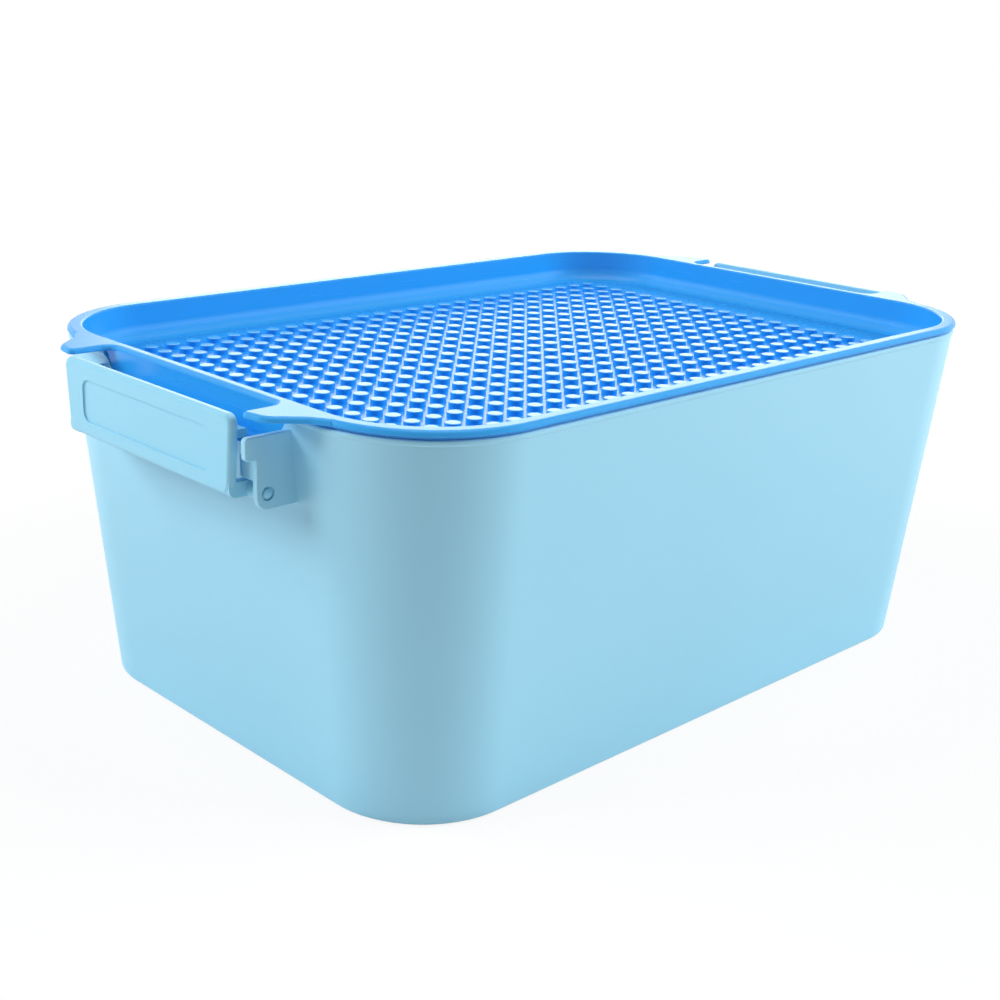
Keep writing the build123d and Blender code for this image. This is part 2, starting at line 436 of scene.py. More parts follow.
class MouldedSurface:
    """The shared look of injection-moulded plastic: soft tone, grain of the mould, faint rubs."""

    NAME = "moulded_surface"
    SCALARS = ("Tone", "Roughness", "Spread", "Grain", "Rubs")
    TONE_SCALE, TONE_DETAIL = 14.0, 3.0
    MOTTLE_SCALE, MOTTLE_DETAIL = 160.0, 4.0
    SINK_SCALE, SINK_DETAIL, SINK_HEIGHT = 30.0, 1.0, 1.6
    GRAIN_DETAIL = 2.0
    STREAK_SCALE = (40.0, 60.0, 900.0)
    STREAK_TURN = (0.2, 0.35, 0.0)
    STREAK_DETAIL = 3.0
    STREAK_START, STREAK_FULL = 0.62, 0.72

    @classmethod
    def group(cls) -> bpy.types.NodeTree:
        """The node group, built once.

        Returns:
            The group with inputs Place, Colour, Tone, Roughness, Spread, Grain and Rubs.
        """
        found = bpy.data.node_groups.get(cls.NAME)
        if found is not None:
            return found
        tree = bpy.data.node_groups.new(cls.NAME, "ShaderNodeTree")
        tree.interface.new_socket("Place", in_out="INPUT", socket_type="NodeSocketVector")
        tree.interface.new_socket("Colour", in_out="INPUT", socket_type="NodeSocketColor")
        for name in cls.SCALARS:
            tree.interface.new_socket(name, in_out="INPUT", socket_type="NodeSocketFloat")
        tree.interface.new_socket("Colour", in_out="OUTPUT", socket_type="NodeSocketColor")
        tree.interface.new_socket("Roughness", in_out="OUTPUT", socket_type="NodeSocketFloat")
        tree.interface.new_socket("Height", in_out="OUTPUT", socket_type="NodeSocketFloat")
        source = tree.nodes.new("NodeGroupInput")
        sink = tree.nodes.new("NodeGroupOutput")

        broad = cls._noise(tree, source, cls.TONE_SCALE, cls.TONE_DETAIL)
        tone = cls._around(tree, broad, source.outputs["Tone"], 1.0)
        shade = tree.nodes.new("ShaderNodeHueSaturation")
        tree.links.new(source.outputs["Colour"], shade.inputs["Color"])
        tree.links.new(tone, shade.inputs["Value"])
        tree.links.new(shade.outputs["Color"], sink.inputs["Colour"])

        mottle = cls._noise(tree, source, cls.MOTTLE_SCALE, cls.MOTTLE_DETAIL)
        varied = cls._around(tree, mottle, source.outputs["Spread"], 0.0)
        base = cls._math(tree, "ADD", source.outputs["Roughness"], varied)
        rubbed = cls._rubs(tree, source)
        full = cls._math(tree, "ADD", base, rubbed)
        tree.links.new(full, sink.inputs["Roughness"])

        grain = tree.nodes.new("ShaderNodeTexNoise")
        grain.inputs["Detail"].default_value = cls.GRAIN_DETAIL
        tree.links.new(source.outputs["Place"], grain.inputs["Vector"])
        tree.links.new(source.outputs["Grain"], grain.inputs["Scale"])
        sink_mark = cls._noise(tree, source, cls.SINK_SCALE, cls.SINK_DETAIL)
        low = cls._math(tree, "MULTIPLY", sink_mark, cls.SINK_HEIGHT)
        tree.links.new(cls._math(tree, "ADD", grain.outputs["Fac"], low), sink.inputs["Height"])
        return tree

    @staticmethod
    def _noise(
        tree: bpy.types.NodeTree, source: bpy.types.Node, scale: float, detail: float
    ) -> bpy.types.NodeSocket:
        """A noise over the surface.

        Args:
            tree: The group.
            source: Its input node.
            scale: Cycles a metre.
            detail: How many finer levels it has.

        Returns:
            The noise's value.
        """
        noise = tree.nodes.new("ShaderNodeTexNoise")
        noise.inputs["Scale"].default_value = scale
        noise.inputs["Detail"].default_value = detail
        tree.links.new(source.outputs["Place"], noise.inputs["Vector"])
        return noise.outputs["Fac"]

    @staticmethod
    def _math(
        tree: bpy.types.NodeTree,
        operation: str,
        first: bpy.types.NodeSocket,
        second: bpy.types.NodeSocket | float,
    ) -> bpy.types.NodeSocket:
        """One sum or product.

        Args:
            tree: The group.
            operation: Blender's name of it.
            first: A socket.
            second: A socket or a number.

        Returns:
            The result.
        """
        node = tree.nodes.new("ShaderNodeMath")
        node.operation = operation
        tree.links.new(first, node.inputs[0])
        if isinstance(second, float):
            node.inputs[1].default_value = second
        else:
            tree.links.new(second, node.inputs[1])
        return node.outputs[0]

    @classmethod
    def _around(
        cls,
        tree: bpy.types.NodeTree,
        value: bpy.types.NodeSocket,
        spread: bpy.types.NodeSocket,
        middle: float,
    ) -> bpy.types.NodeSocket:
        """Spreads a noise evenly about a middle value.

        Args:
            tree: The group.
            value: The noise, from 0 to 1.
            spread: How far it goes.
            middle: What it goes about.

        Returns:
            The result.
        """
        centred = cls._math(tree, "SUBTRACT", value, 0.5)
        scaled = cls._math(tree, "MULTIPLY", centred, spread)
        return cls._math(tree, "ADD", scaled, middle)

    @classmethod
    def _rubs(cls, tree: bpy.types.NodeTree, source: bpy.types.Node) -> bpy.types.NodeSocket:
        """Short faint streaks where hands and shelves have rubbed.

        Args:
            tree: The group.
            source: Its input node.

        Returns:
            What they add to the roughness.
        """
        stretch = tree.nodes.new("ShaderNodeMapping")
        stretch.inputs["Scale"].default_value = cls.STREAK_SCALE
        stretch.inputs["Rotation"].default_value = cls.STREAK_TURN
        tree.links.new(source.outputs["Place"], stretch.inputs["Vector"])
        streak = tree.nodes.new("ShaderNodeTexNoise")
        streak.inputs["Scale"].default_value = 1.0
        streak.inputs["Detail"].default_value = cls.STREAK_DETAIL
        tree.links.new(stretch.outputs["Vector"], streak.inputs["Vector"])
        picked = tree.nodes.new("ShaderNodeMapRange")
        picked.inputs["From Min"].default_value = cls.STREAK_START
        picked.inputs["From Max"].default_value = cls.STREAK_FULL
        tree.links.new(streak.outputs["Fac"], picked.inputs["Value"])
        return cls._math(tree, "MULTIPLY", picked.outputs["Result"], source.outputs["Rubs"])


@dataclass(frozen=True)
class MouldedPlastic:
    """A plastic finish: its colour, its gloss and the grain that the mould left."""

    name: str
    colour: tuple[int, int, int]
    roughness: float
    gloss_level: float = 0.5
    tone: float = 0.05
    spread: float = 0.05
    grain: float = 1800.0
    grain_strength: float = 0.12
    grain_depth: float = 0.05 * METRE
    rubs: float = 0.05
    refraction: float = 1.5

    def material(self) -> bpy.types.Material:
        """The material, built once.

        Returns:
            The material that carries this finish.
        """
        found = bpy.data.materials.get(self.name)
        if found is not None:
            return found
        material = bpy.data.materials.new(self.name)
        material.use_nodes = True
        tree = material.node_tree
        shader = tree.nodes["Principled BSDF"]
        shader.inputs["IOR"].default_value = self.refraction
        shader.inputs["Specular IOR Level"].default_value = self.gloss_level
        place = tree.nodes.new("ShaderNodeTexCoord")
        surface = tree.nodes.new("ShaderNodeGroup")
        surface.node_tree = MouldedSurface.group()
        tree.links.new(place.outputs["Object"], surface.inputs["Place"])
        surface.inputs["Colour"].default_value = linear(self.colour)
        scalars = (self.tone, self.roughness, self.spread, self.grain, self.rubs)
        for socket, value in zip(MouldedSurface.SCALARS, scalars):
            surface.inputs[socket].default_value = value
        tree.links.new(surface.outputs["Colour"], shader.inputs["Base Color"])
        tree.links.new(surface.outputs["Roughness"], shader.inputs["Roughness"])
        bump = tree.nodes.new("ShaderNodeBump")
        bump.inputs["Strength"].default_value = self.grain_strength
        bump.inputs["Distance"].default_value = self.grain_depth
        tree.links.new(surface.outputs["Height"], bump.inputs["Height"])
        tree.links.new(bump.outputs["Normal"], shader.inputs["Normal"])
        material.diffuse_color = linear(self.colour)
        return material


TUB_PLASTIC = MouldedPlastic(
    "tub_satin_plastic",
    (157, 216, 240),
    roughness=0.40,
    spread=0.08,
    grain=2600.0,
    grain_strength=0.35,
    rubs=0.06,
)
LATCH_PLASTIC = MouldedPlastic(
    "latch_satin_plastic",
    (146, 213, 240),
    roughness=0.30,
    tone=0.04,
    spread=0.06,
    grain=2600.0,
    grain_strength=0.25,
    rubs=0.06,
)
LID_PLASTIC = MouldedPlastic("lid_gloss_plastic", (46, 166, 242), roughness=0.24, gloss_level=0.4, rubs=0.08)
# The studded floor's own deep blue, darkened below the lid's colour as painted shade between the studs.
STUD_PAINTED_SHADE_PLASTIC = MouldedPlastic("stud_plastic_painted_shade", (38, 154, 236), roughness=0.27, gloss_level=0.45)
# The studs' tops: the same deep blue lightened, a painted highlight where the tops catch the light.
STUD_TOP_PAINTED_HIGHLIGHT = MouldedPlastic("stud_top_painted_highlight", (70, 172, 238), roughness=0.20, gloss_level=1.0)


def dress(piece: bpy.types.Object, finish: MouldedPlastic, slot: Slot, body: str, *nodes: str) -> None:
    """Gives a piece its finish, its body and the solids that it stands for.

    Args:
        piece: The finished piece.
        finish: Its plastic.
        slot: The record's slot of that plastic; not used.
        body: The body that it moves with.
        *nodes: The solids that it replaces.
    """
    piece.data.materials.clear()
    piece.data.materials.append(finish.material())
    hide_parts(*nodes)
    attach(piece, body)
    LOG.info("%s: %d faces, rides on %s", piece.name, len(piece.data.polygons), body)


@dataclass
class Walls:
    """The lean that the tub and the tray inside it share."""

    height: float = 113.4
    half_length: float = 136.3
    half_width: float = 95.1
    corner: float = 38.6
    base_corner: float = 31.8
    lean: float = 9.9
    lip_reach: float = 0.3
    corner_chords: int = 28

    def lean_at(self, z: float) -> float:
        """How far the wall stands in from the rim line at a height."""
        return self.lip_reach + self.lean * (1 - z / self.height)

    def section(self, z: float, inset: float) -> Section:
        """Level of a leaning form, parallel to the tub's outside.

        Args:
            z: Its height.
            inset: How far inside the wall's outside it lies.

        Returns:
            The section.
        """
        draw = self.lean_at(z) + inset
        corner = self.base_corner + (self.corner - self.base_corner) * z / self.height - inset
        return Section(z, self.half_length - draw, self.half_width - draw, corner)


@dataclass
class Hinge:
    """Where the latches turn, and the pins that they turn on."""

    pin_x: float = 143.1
    pin_z: float = 93.9
    pin_radius: float = 1.4
    pin_outer: float = 46.7
    pin_inner: float = 38.0
    pin_dome: float = 0.6
    pin_chamfer: float = 0.25
    pin_sides: int = 32
    dome_turns: tuple[int, ...] = (20, 40, 60, 75)

    def at_pin(self, form: Form) -> Form:
        """Lays an upright turned form along the pin's axis at the far right hinge."""
        return form.stand(Facing.SIDE).shift((self.pin_x, 0, self.pin_z))

    def pin(self) -> Form:
        """One pin with a domed outer end.

        Returns:
            The pin of the far right hinge.
        """
        radius, inner, cut = self.pin_radius, self.pin_inner, self.pin_chamfer
        shoulder = self.pin_outer - self.pin_dome
        profile = [(0, inner), (radius - cut, inner), (radius, inner + cut), (radius, shoulder)]
        for turn in self.dome_turns:
            angle = math.radians(turn)
            profile.append((radius * math.cos(angle), shoulder + self.pin_dome * math.sin(angle)))
        profile.append((0, self.pin_outer))
        return self.at_pin(Form.turned(profile, self.pin_sides))

    def build(self) -> None:
        """Makes the four pins as one piece of four shells."""
        pins = Form()
        for sign_x in (1, -1):
            for sign_y in (1, -1):
                pins.absorb(self.pin().mirrored(sign_x, sign_y))
        dress(pins.finish("hinge_pin_set"), LATCH_PLASTIC, Slot.PALE, "tub_body", "hinge_pins")


@dataclass
class Tub:
    """The tub with its rim lip, the dip at each short end and the four hinge ears."""

    walls: Walls = field(default_factory=Walls)
    hinge: Hinge = field(default_factory=Hinge)
    wall: float = 2.4
    floor: float = 2.6
    floor_round: float = 4.0
    base_round: float = 0.9
    lip_height: float = 1.5
    lip_steps: tuple[tuple[float, float], ...] = ((-0.25, 0.0), (-0.05, 0.07), (0.12, 0.22), (0.35, 0.3))
    rim_round: float = 0.8
    dip_depth: float = 10.0
    dip_half_top: float = 46.0
    dip_half_floor: float = 38.0
    dip_corner: float = 1.35
    dip_inner: float = 131.5
    dip_outer: float = 138.3
    ear_inner: float = 44.4
    ear_outer: float = 46.4
    ear_front: float = 3.4
    ear_below: float = 4.4
    ear_top_rise: float = 15.7
    nose_reach: float = 3.4
    nose_height: float = 6.3
    nose_round: float = 1.2
    nose_root_round: float = 0.6
    edge_round: float = 0.35
    pad_low: float = 97.3
    pad_back: float = 144.7
    pad_front: float = 146.3
    pad_end: float = 38.5
    pad_round: float = 0.3
    pin_slack: float = 0.03
    sink_radius: float = 2.1
    sink_depth: float = 0.6
    sink_draft: float = 0.15
    bore_overrun: float = 1.0
    overrun: float = 2.0

    def shell(self) -> Form:
        """Walls, floor and rim as one closed skin.

        Returns:
            The form without ears or dips.
        """
        section, top = self.walls.section, self.walls.height
        levels = [section(rise, inset) for inset, rise in quarter_round(self.base_round, 4)]
        lip = top - self.lip_height
        levels.extend(section(lip + rise, -reach) for rise, reach in self.lip_steps)
        for inset, rise in reversed(quarter_round(self.rim_round, 4)):
            levels.append(section(top - rise, inset - self.walls.lip_reach))
        for inset, rise in quarter_round(self.rim_round, 4):
            levels.append(section(top - rise, self.wall - inset))
        for inset, rise in reversed(quarter_round(self.floor_round, 8)):
            levels.append(section(self.floor + rise, self.wall + inset))
        return Form.stack(levels, self.walls.corner_chords)

    def mid_wall(self, z: float) -> float:
        """Where the middle of the right end wall stands at a height."""
        return self.walls.half_length - self.walls.lean_at(z) - self.wall / 2

    def ear(self, nosed: bool) -> Form:
        """The far right hinge ear with its stop pad.

        Args:
            nosed: Whether its top runs out into a nose.

        Returns:
            The ear, rooted in the end wall.
        """
        top, bottom = self.hinge.pin_z + self.ear_top_rise, self.hinge.pin_z - self.ear_below
        nose_bottom = top - self.nose_height
        front = self.hinge.pin_x + self.ear_front
        outline = [Corner(self.mid_wall(bottom), bottom), Corner(front, bottom, self.ear_front)]
        if nosed:
            outline.append(Corner(front, nose_bottom, self.nose_root_round))
            outline.append(Corner(front + self.nose_reach, nose_bottom, self.nose_round))
            outline.append(Corner(front + self.nose_reach, top, self.nose_round))
        else:
            outline.append(Corner(front, top, self.nose_round))
        outline.append(Corner(self.mid_wall(top), top))
        ear = Form.prism(outline, self.ear_inner, self.ear_outer, 8).stand(Facing.SIDE)
        ear.round_edges(self.edge_round, 3)
        ear.meet(self.pad(nose_bottom), Join.UNION)
        return ear.meet(self.bore(), Join.CUT)

    def pad(self, top: float) -> Form:
        """The stop web that runs from the far right ear behind the latch.

        Args:
            top: Its upper level.

        Returns:
            The web.
        """
        low = (self.pad_back, self.pad_end, self.pad_low)
        high = (self.pad_front, (self.ear_inner + self.ear_outer) / 2, top)
        return Form.block(low, high).round_edges(self.pad_round, 2)

    def bore(self) -> Form:
        """What is cut from the far right ear: the pin's hole and the sink round its head.

        Returns:
            The cutter.
        """
        radius, ring = self.hinge.pin_radius + self.pin_slack, self.ear_outer - self.sink_depth
        inner, outer = self.ear_inner - self.bore_overrun, self.ear_outer + self.bore_overrun
        profile = [
            (0, inner),
            (radius, inner),
            (radius, ring),
            (self.sink_radius - self.sink_draft, ring),
            (self.sink_radius, outer),
            (0, outer),
        ]
        return self.hinge.at_pin(Form.turned(profile, self.hinge.pin_sides))

    def dip(self) -> Form:
        """What is cut from the right end's rim.

        Returns:
            The cutter.
        """
        floor = self.walls.height - self.dip_depth
        slope = (self.dip_half_top - self.dip_half_floor) / self.dip_depth
        wide = self.dip_half_top + slope * self.overrun
        above = self.walls.height + self.overrun
        outline = [
            Corner(-self.dip_half_floor, floor, self.dip_corner),
            Corner(self.dip_half_floor, floor, self.dip_corner),
            Corner(wide, above),
            Corner(-wide, above),
        ]
        return Form.prism(outline, self.dip_inner, self.dip_outer, 6).stand(Facing.END)

    def build(self) -> None:
        """Makes the tub as one piece."""
        tub = self.shell()
        for sign_x in (1, -1):
            tub.meet(self.dip().mirrored(sign_x, 1), Join.CUT)
            for sign_y in (1, -1):
                ear = self.ear(sign_x * sign_y > 0)
                tub.meet(ear.mirrored(sign_x, sign_y), Join.UNION)
        dress(tub.finish("tub_shell"), TUB_PLASTIC, Slot.PALE, "tub_body", "tub")


@dataclass
class Lid:
    """The tray lid: a flat rim with four wings, leaning tray walls, end skirts and catch ledges."""

    walls: Walls = field(default_factory=Walls)
    top: float = 116.0
    thickness: float = 1.7
    overhang: float = 0.2
    edge_round: float = 1.35
    underside_round: float = 0.3
    seat_level: float = 113.5
    seat_inset: float = 1.0
    seat_sink: float = 0.9
    tray_inset: float = 2.8
    tray_wall: float = 1.8
    floor_level: float = 104.23
    tray_bottom: float = 102.23
    bottom_round: float = 1.0
    foot_round: float = 5.0
    rim_round: float = 0.6
    notch_x: float = 135.4
    notch_half: float = 42.5
    notch_corner: float = 3.8
    notch_reach: float = 24.0
    notch_below: float = 4.0
    tip_round: float = 2.4
    tips_from: float = 147.0
    wing_reach: float = 12.5
    wing_span: float = 21.0
    wing_shares: tuple[tuple[float, float], ...] = ((0.89, 0.41), (0.2, 0.76), (-0.04, 1.0))
    wing_rounds: tuple[float, ...] = (2.2, 0.85, 0.0)
    wing_root: float = 3.0
    wing_trim: float = 4.0
    wing_trim_share: float = 1.05
    skirt_top: float = 114.55
    skirt_half_floor: float = 37.94
    skirt_slope: float = 0.8
    skirt_corner: float = 1.3
    skirt_inner: float = 131.5
    ledge_root: float = 133.9
    ledge_reach: float = 5.4
    ledge_half: float = 33.0
    ledge_bottom: float = 103.7
    ledge_thickness: float = 1.5
    ledge_slope: float = 0.9
    ledge_tip_round: float = 0.25
    ledge_slope_round: float = 0.15
    overrun: float = 2.0

    def wing(self) -> Form:
        """The far right wing, drawn past the notch so that the notch trims it.

        Returns:
            The wing's slab.
        """
        edge = self.walls.half_length + self.overhang
        root, start = edge - self.wing_root, self.notch_half
        outline = [
            Corner(root, start - self.wing_trim),
            Corner(edge + self.wing_reach * self.wing_trim_share, start - self.wing_trim),
        ]
        for (out, along), reach in zip(self.wing_shares, self.wing_rounds):
            outline.append(Corner(edge + self.wing_reach * out, start + self.wing_span * along, reach))
        outline.append(Corner(root, start + self.wing_span))
        return Form.prism(outline, self.top - self.thickness, self.top, 8)

    def notch(self) -> Form:
        """What is cut from the right end for the latch.

        Returns:
            The cutter.
        """
        half, levels = self.notch_reach / 2, (self.top - self.notch_below, self.top + self.overrun)
        sections = [Section(z, half, self.notch_half, self.notch_corner) for z in levels]
        return Form.stack(sections, 10).shift((self.notch_x + half, 0, 0))

    def flange(self) -> Form:
        """The flat rim with its wings and notches, rounded along its whole outline.

        Returns:
            The slab, still closed over the tray.
        """
        low = self.top - self.thickness
        half_x = self.walls.half_length + self.overhang
        half_y = self.walls.half_width + self.overhang
        corner = self.walls.corner + self.overhang
        levels = [Section(z, half_x, half_y, corner) for z in (low, self.top)]
        slab = Form.stack(levels, self.walls.corner_chords)
        for sign_x in (1, -1):
            for sign_y in (1, -1):
                slab.meet(self.wing().mirrored(sign_x, sign_y), Join.UNION)
        for sign_x in (1, -1):
            slab.meet(self.notch().mirrored(sign_x, 1), Join.CUT)
        bmesh.ops.dissolve_limit(
            slab.mesh, angle_limit=FLAT_ANGLE, verts=slab.mesh.verts[:], edges=slab.mesh.edges[:]
        )
        slab.round_edges(self.tip_round, 6, self._is_tip)
        return self._round_outline(slab)

    def _is_tip(self, edge: bmesh.types.BMEdge) -> bool:
        """Finds the upright edge at each wing's inner tip.

        Args:
            edge: An edge of the slab.

        Returns:
            Whether it is one of them.
        """
        first, second = (vert.co for vert in edge.verts)
        upright = (first.xy - second.xy).length < LEVEL_GAP
        return upright and abs(first.x) > self.tips_from and abs(abs(first.y) - self.notch_half) < LEVEL_GAP

    def _round_outline(self, slab: Form) -> Form:
        """Rounds the slab's outline, above by a large radius and below by a small one.

        The lower edge inside a notch stays sharp, because the skirt's face meets it there.

        Args:
            slab: The slab with sharp edges.

        Returns:
            The rounded slab.
        """
        layer = slab.mesh.edges.layers.float.new("bevel_weight_edge")
        middle_z = self.top - self.thickness / 2
        for edge in slab.mesh.edges:
            first, second = (vert.co for vert in edge.verts)
            if abs(first.z - second.z) > LEVEL_GAP or edge.calc_face_angle() < SHARP_ANGLE:
                continue
            in_notch = abs(first.y + second.y) < LEVEL_GAP
            if first.z > middle_z:
                edge[layer] = 1.0
            elif not in_notch:
                edge[layer] = self.underside_round / self.edge_round
        return slab.round_by_weight(self.edge_round, 4)

    def body(self) -> Form:
        """The seat ring and the tray's walls and floor, still solid.

        Returns:
            The block under the rim.
        """
        inset = self.tray_inset - self.walls.lip_reach
        section = self.walls.section
        foot = quarter_round(self.bottom_round, 4)
        levels = [section(self.tray_bottom + rise, inset + draw) for draw, rise in foot]
        levels.append(section(self.seat_level, inset))
        seat = Section(
            self.seat_level,
            self.walls.half_length - self.seat_inset,
            self.walls.half_width - self.seat_inset,
            self.walls.corner - self.seat_inset,
        )
        levels.append(seat)
        levels.append(Section(self.top - self.seat_sink, seat.half_u, seat.half_v, seat.corner))
        return Form.stack(levels, self.walls.corner_chords)

    def skirt(self) -> Form:
        """The tongue that fills the right dip of the tub's rim.

        Returns:
            The tongue, flush with the notch's wall.
        """
        floor, rim, half_floor = self.ledge_bottom, self.skirt_top, self.skirt_half_floor
        half_rim = half_floor + (rim - floor) * self.skirt_slope
        outline = [
            Corner(-half_floor, floor, self.skirt_corner),
            Corner(half_floor, floor, self.skirt_corner),
            Corner(half_rim, rim),
            Corner(-half_rim, rim),
        ]
        return Form.prism(outline, self.skirt_inner, self.notch_x, 6).stand(Facing.END)

    def ledge(self) -> Form:
        """The catch ledge that the right latch snaps over.

        Returns:
            The ledge with its sloping nose.
        """
        root, tip, slope = self.ledge_root, self.notch_x + self.ledge_reach, self.ledge_slope
        low, high = self.ledge_bottom, self.ledge_bottom + self.ledge_thickness
        outline = [
            Corner(root, low),
            Corner(tip, low, self.ledge_tip_round),
            Corner(tip, high - slope, self.ledge_slope_round),
            Corner(tip - slope, high, self.ledge_slope_round),
            Corner(root, high),
        ]
        return Form.prism(outline, -self.ledge_half, self.ledge_half, 3).stand(Facing.SIDE)

    def cavity(self) -> Form:
        """What is cut from the top for the tray, with its rounded foot and lip.

        Returns:
            The cutter.
        """
        inset = self.tray_inset - self.walls.lip_reach + self.tray_wall
        section = self.walls.section
        foot, lip = quarter_round(self.foot_round, 9), quarter_round(self.rim_round, 4)
        levels = [section(self.floor_level + rise, inset + draw) for draw, rise in foot]
        levels.extend(section(self.top - draw, inset - rise) for draw, rise in lip)
        mouth = levels[-1]
        levels.append(Section(self.top + self.overrun, mouth.half_u, mouth.half_v, mouth.corner))
        return Form.stack(levels, self.walls.corner_chords)

    def panel_section(self, z: float, grow: float) -> Section:
        """Outline of the studded floor, inside the tray's rounded foot.

        Args:
            z: Its height.
            grow: How much larger it is than the opening.

        Returns:
            The section.
        """
        inset = self.tray_inset - self.walls.lip_reach + self.tray_wall + self.foot_round
        flat = self.walls.section(self.floor_level, inset - grow)
        return Section(z, flat.half_u, flat.half_v, flat.corner)

    def build(self) -> None:
        """Makes the lid and its studded floor."""
        lid = self.flange().meet(self.body(), Join.UNION)
        for sign_x in (1, -1):
            lid.meet(self.skirt().mirrored(sign_x, 1), Join.UNION)
            lid.meet(self.ledge().mirrored(sign_x, 1), Join.UNION)
        lid.meet(self.cavity(), Join.CUT)
        levels = (self.tray_bottom - self.overrun, self.floor_level + self.overrun / 2)
        opening = [self.panel_section(z, 0.0) for z in levels]
        lid.meet(Form.stack(opening, self.walls.corner_chords), Join.CUT)
        dress(lid.finish("lid_rim_and_tray"), LID_PLASTIC, Slot.DEEP, "lid", "lid_tray")


@dataclass
class StudField:
    """The tray's floor with its rows of round building studs."""

    lid: Lid = field(default_factory=Lid)
    pitch: float = 8.0
    radius: float = 2.4
    height: float = 1.7
    columns: int = 27
    rows: int = 19
    sides: int = 16
    edge_round: float = 0.42
    sink: float = 0.3
    crown_margin: float = 0.1
    plate_gap: float = 0.05
    plate_overlap: float = 0.3
    plate_bevel: float = 0.2

    def stud(self) -> Form:
        """The first stud, at the near left corner of the field.

        Returns:
            A round post that sinks a little into the floor.
        """
        form, depth = Form(), self.height + self.sink
        bmesh.ops.create_cone(
            form.mesh,
            cap_ends=True,
            segments=self.sides,
            radius1=self.radius,
            radius2=self.radius,
            depth=depth,
        )
        form.round_edges(self.edge_round, 2, lambda edge: all(vert.co.z > 0 for vert in edge.verts))
        near, left = -self.pitch * (self.rows - 1) / 2, -self.pitch * (self.columns - 1) / 2
        return form.shift((left, near, self.lid.floor_level + self.height - depth / 2))

    def _repeat(self, form: Form, step: Sequence[float], times: int) -> None:
        """Sets copies of all that is there in a row.

        Args:
            form: The form that grows.
            step: From one copy to the next.
            times: How many copies are added.
        """
        geometry = form.mesh.verts[:] + form.mesh.edges[:] + form.mesh.faces[:]
        bmesh.ops.spin(
            form.mesh,
            geom=geometry,
            cent=(0, 0, 0),
            axis=(0, 0, 1),
            dvec=step,
            angle=0.0,
            steps=times,
            use_duplicate=True,
        )

    def build(self) -> None:
        """Makes the floor plate and all its studs as one piece."""
        studs = self.stud()
        self._repeat(studs, (self.pitch, 0, 0), self.columns - 1)
        self._repeat(studs, (0, self.pitch, 0), self.rows - 1)
        level, bottom = self.lid.floor_level, self.lid.tray_bottom + self.plate_gap
        plate = [
            self.lid.panel_section(bottom, 0.0),
            self.lid.panel_section(bottom + self.plate_bevel, self.plate_overlap),
            self.lid.panel_section(level - self.plate_bevel, self.plate_overlap),
            self.lid.panel_section(level, 0.0),
        ]
        studs.absorb(Form.stack(plate, self.lid.walls.corner_chords))
        piece = studs.finish("stud_field")
        # The floor plate and the stud sides take the deep blue darkened as painted shade.
        dress(piece, STUD_PAINTED_SHADE_PLASTIC, Slot.DEEP, "lid", "stud_panel")
        piece.data.materials.append(STUD_TOP_PAINTED_HIGHLIGHT.material())
        # Faces above the crown level take the lighter copy, a painted highlight on the stud tops.
        crown = (level + self.height - self.crown_margin) * METRE
        for face in piece.data.polygons:
            face.material_index = int(face.center.z > crown)


